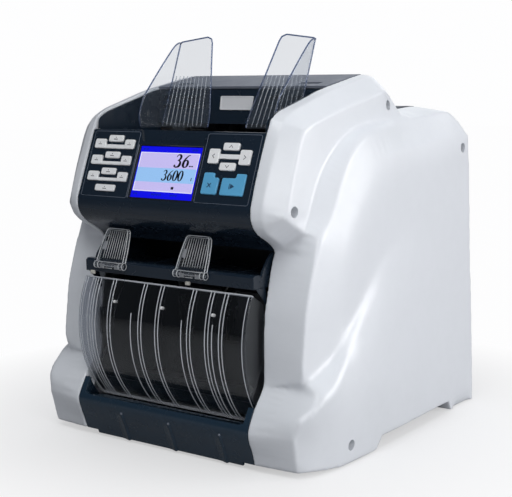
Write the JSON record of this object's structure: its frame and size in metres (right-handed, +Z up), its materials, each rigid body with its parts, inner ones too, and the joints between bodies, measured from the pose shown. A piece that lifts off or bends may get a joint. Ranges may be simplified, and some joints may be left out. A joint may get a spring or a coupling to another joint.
{
  "type": "banknote counting machine",
  "caption": "Front-loading two-pocket banknote counter with swept side panels, sloping keypad and display, clear hopper guides, reject stoppers and a drop-down stacker door.",
  "frame": {"origin": "bottom centre of the machine's bounding box, on the table", "axes": "+Z up, front of the machine (keypad, pockets and door) towards -Y, +X to the right seen from behind the keypad looking from the front, that is to the right of a user facing the machine"},
  "size_m": [0.3164, 0.3312, 0.3754],
  "materials": {
    "shell_white": "fine-textured satin moulded plastic",
    "dark_plastic": "semi-gloss moulded plastic",
    "clear_plastic": "clear moulded plastic",
    "clear_door": "clear moulded plastic",
    "grey_cover": "satin moulded plastic",
    "rear_grey": "satin moulded plastic",
    "key_white": "satin keycap plastic",
    "key_blue": "satin keycap plastic",
    "lcd": "anti-glare display window",
    "steel": "zinc-plated pressed steel",
    "steel_pin": "polished steel",
    "rubber_dark": "matt rubber",
    "roller_rubber": "matt rubber tyres on steel shafts",
    "label": "blank metallised plate",
    "pcb": "solder-masked circuit board",
    "black_plastic": "matt moulded plastic",
    "motor": "painted motor housing",
    "nylon": "natural nylon"
  },
  "bodies": {
    "chassis": {"right_side_panel": "shell_white", "left_side_panel": "shell_white", "panel_screws": "steel_pin", "right_frame_plate": "steel", "left_frame_plate": "steel", "tie_rods": "steel", "base_plate": "steel", "rubber_feet": "rubber_dark", "front_apron": "dark_plastic", "stacker_pocket": "black_plastic", "reject_tray": "dark_plastic", "stopper_pins": "steel_pin", "control_fascia": "dark_plastic", "lcd_display": "lcd", "keypad_board": "pcb", "hopper_bed": "dark_plastic", "hopper_rear_wall": "dark_plastic", "badge_plate": "label", "guide_carrier": "steel", "pivot_pins": "steel_pin", "back_panel": "rear_grey", "power_inlet": "black_plastic", "data_ports": "steel", "fan_frame": "black_plastic", "diverter_solenoid": "motor", "image_sensor_bars": "black_plastic", "drive_motor": "motor", "drive_belt": "rubber_dark", "main_board": "pcb", "power_supply": "motor"},
    "stacker_door": {"stacker_door": "clear_door"},
    "reject_stopper_left": {"reject_stopper_left": "clear_plastic"},
    "reject_stopper_right": {"reject_stopper_right": "clear_plastic"},
    "hopper_guide_right": {"hopper_guide_right": "clear_plastic"},
    "hopper_guide_left": {"hopper_guide_left": "clear_plastic"},
    "guide_pinion": {"guide_pinion": "nylon"},
    "key_centre_upper": {"key_centre_upper": "key_white"},
    "key_centre_middle": {"key_centre_middle": "key_white"},
    "key_centre_lower": {"key_centre_lower": "key_white"},
    "key_bottom": {"key_bottom": "key_white"},
    "key_up": {"key_up": "key_white"},
    "key_down": {"key_down": "key_white"},
    "key_clear": {"key_clear": "key_blue"},
    "key_start": {"key_start": "key_blue"},
    "key_menu_upper": {"key_menu_upper": "key_white"},
    "key_menu_middle": {"key_menu_middle": "key_white"},
    "key_menu_lower": {"key_menu_lower": "key_white"},
    "key_side_pair": {"key_side_pair": "key_white"},
    "top_cover": {"top_cover": "grey_cover"},
    "rear_cover": {"rear_cover": "rear_grey"},
    "power_switch": {"power_switch": "black_plastic"},
    "fan_rotor": {"fan_rotor": "black_plastic"},
    "transport_rollers_lower": {"transport_rollers_lower": "roller_rubber"},
    "motor_pulley": {"motor_pulley": "nylon"},
    "transport_rollers_upper": {"transport_rollers_upper": "roller_rubber"},
    "feed_rollers": {"feed_rollers": "roller_rubber"},
    "pickup_rollers": {"pickup_rollers": "roller_rubber"},
    "stacker_wheels": {"stacker_wheels": "nylon"},
    "retard_rollers": {"retard_rollers": "roller_rubber"},
    "diverter_gate": {"diverter_gate": "black_plastic"}
  },
  "joints": [
    {"name": "door_hinge", "type": "hinge", "parent": "chassis", "child": "stacker_door", "pos_m": [0, -0.06715, 0.107], "axis": [1, 0, 0], "range_deg": [0, 60]},
    {"name": "stopper_left_hinge", "type": "hinge", "parent": "chassis", "child": "reject_stopper_left", "pos_m": [-0.0636, -0.15575, 0.1654], "axis": [1, 0, 0], "range_deg": [0, 70]},
    {"name": "stopper_right_hinge", "type": "hinge", "parent": "chassis", "child": "reject_stopper_right", "pos_m": [0.0319, -0.15575, 0.1654], "axis": [1, 0, 0], "range_deg": [0, 70]},
    {"name": "guide_slide", "type": "slide", "parent": "chassis", "child": "hopper_guide_right", "axis": [1, 0, 0], "range_m": [-0.018, 0.01]},
    {"name": "guide_left_slide", "type": "slide", "parent": "chassis", "child": "hopper_guide_left", "axis": [1, 0, 0], "range_m": [-0.01, 0.018]},
    {"name": "guide_pinion_turn", "type": "hinge", "parent": "chassis", "child": "guide_pinion", "pos_m": [0, -0.06155, 0.277], "axis": [0, 0, 1], "range_deg": [-75, 132]},
    {"name": "key_centre_upper_press", "type": "slide", "parent": "chassis", "child": "key_centre_upper", "axis": [0, 0.9317, -0.3633], "range_m": [0, 0.0008], "stiffness_N_per_m": 1500},
    {"name": "key_centre_middle_press", "type": "slide", "parent": "chassis", "child": "key_centre_middle", "axis": [0, 0.9317, -0.3633], "range_m": [0, 0.0008], "stiffness_N_per_m": 1500},
    {"name": "key_centre_lower_press", "type": "slide", "parent": "chassis", "child": "key_centre_lower", "axis": [0, 0.9317, -0.3633], "range_m": [0, 0.0008], "stiffness_N_per_m": 1500},
    {"name": "key_bottom_press", "type": "slide", "parent": "chassis", "child": "key_bottom", "axis": [0, 0.9317, -0.3633], "range_m": [0, 0.0008], "stiffness_N_per_m": 1500},
    {"name": "key_up_press", "type": "slide", "parent": "chassis", "child": "key_up", "axis": [0, 0.9317, -0.3633], "range_m": [0, 0.0008], "stiffness_N_per_m": 1500},
    {"name": "key_down_press", "type": "slide", "parent": "chassis", "child": "key_down", "axis": [0, 0.9317, -0.3633], "range_m": [0, 0.0008], "stiffness_N_per_m": 1500},
    {"name": "key_clear_press", "type": "slide", "parent": "chassis", "child": "key_clear", "axis": [0, 0.9317, -0.3633], "range_m": [0, 0.0008], "stiffness_N_per_m": 1500},
    {"name": "key_start_press", "type": "slide", "parent": "chassis", "child": "key_start", "axis": [0, 0.9317, -0.3633], "range_m": [0, 0.0008], "stiffness_N_per_m": 1500},
    {"name": "key_menu_upper_rock", "type": "hinge", "parent": "chassis", "child": "key_menu_upper", "pos_m": [-0.06875, -0.13714, 0.27485], "axis": [0, 0.3633, 0.9317], "range_deg": [-1.6, 1.6], "stiffness_Nm_per_rad": 0.6},
    {"name": "key_menu_middle_rock", "type": "hinge", "parent": "chassis", "child": "key_menu_middle", "pos_m": [-0.06875, -0.14281, 0.26032], "axis": [0, 0.3633, 0.9317], "range_deg": [-1.6, 1.6], "stiffness_Nm_per_rad": 0.6},
    {"name": "key_menu_lower_rock", "type": "hinge", "parent": "chassis", "child": "key_menu_lower", "pos_m": [-0.06875, -0.14844, 0.24587], "axis": [0, 0.3633, 0.9317], "range_deg": [-1.6, 1.6], "stiffness_Nm_per_rad": 0.6},
    {"name": "key_side_pair_rock", "type": "hinge", "parent": "chassis", "child": "key_side_pair", "pos_m": [0.06685, -0.1402, 0.26702], "axis": [0, 0.3633, 0.9317], "range_deg": [-1.6, 1.6], "stiffness_Nm_per_rad": 0.6},
    {"name": "top_cover_hinge", "type": "hinge", "parent": "chassis", "child": "top_cover", "pos_m": [0, 0.05285, 0.3036], "axis": [-1, 0, 0], "range_deg": [0, 65]},
    {"name": "rear_cover_hinge", "type": "hinge", "parent": "chassis", "child": "rear_cover", "pos_m": [0, 0.15185, 0.1314], "axis": [-1, 0, 0], "range_deg": [0, 80]},
    {"name": "switch_rock", "type": "hinge", "parent": "chassis", "child": "power_switch", "pos_m": [-0.062, 0.15895, 0.072], "axis": [-1, 0, 0], "range_deg": [0, 12]},
    {"name": "fan_spin", "type": "hinge", "parent": "chassis", "child": "fan_rotor", "pos_m": [0.058, 0.14145, 0.078], "axis": [0, 1, 0], "continuous": true},
    {"name": "drive_spin", "type": "hinge", "parent": "chassis", "child": "transport_rollers_lower", "pos_m": [0, 0.08345, 0.15], "axis": [1, 0, 0], "continuous": true},
    {"name": "motor_spin", "type": "hinge", "parent": "chassis", "child": "motor_pulley", "pos_m": [-0.089, 0.06745, 0.058], "axis": [1, 0, 0], "continuous": true},
    {"name": "transport_upper_spin", "type": "hinge", "parent": "chassis", "child": "transport_rollers_upper", "pos_m": [0, 0.07145, 0.236], "axis": [1, 0, 0], "continuous": true},
    {"name": "feed_spin", "type": "hinge", "parent": "chassis", "child": "feed_rollers", "pos_m": [0, -0.02455, 0.268], "axis": [1, 0, 0], "continuous": true},
    {"name": "pickup_spin", "type": "hinge", "parent": "chassis", "child": "pickup_rollers", "pos_m": [0, -0.09455, 0.2715], "axis": [1, 0, 0], "continuous": true},
    {"name": "stacker_spin", "type": "hinge", "parent": "chassis", "child": "stacker_wheels", "pos_m": [0, -0.02055, 0.118], "axis": [1, 0, 0], "continuous": true},
    {"name": "retard_spin", "type": "hinge", "parent": "chassis", "child": "retard_rollers", "pos_m": [0, -0.01855, 0.2972], "axis": [1, 0, 0], "continuous": true},
    {"name": "diverter_turn", "type": "hinge", "parent": "chassis", "child": "diverter_gate", "pos_m": [0, -0.07255, 0.192], "axis": [1, 0, 0], "range_deg": [0, 12]}
  ],
  "couplings": [
    {"joint": "guide_left_slide", "follows": "guide_slide", "ratio": -1},
    {"joint": "guide_pinion_turn", "follows": "guide_slide", "rad_per_m": -125},
    {"joint": "motor_spin", "follows": "drive_spin", "ratio": 2},
    {"joint": "transport_upper_spin", "follows": "drive_spin", "ratio": 0.8182},
    {"joint": "feed_spin", "follows": "drive_spin", "ratio": 1.1538},
    {"joint": "pickup_spin", "follows": "drive_spin", "ratio": 1.2},
    {"joint": "stacker_spin", "follows": "drive_spin", "ratio": 0.25}
  ]
}
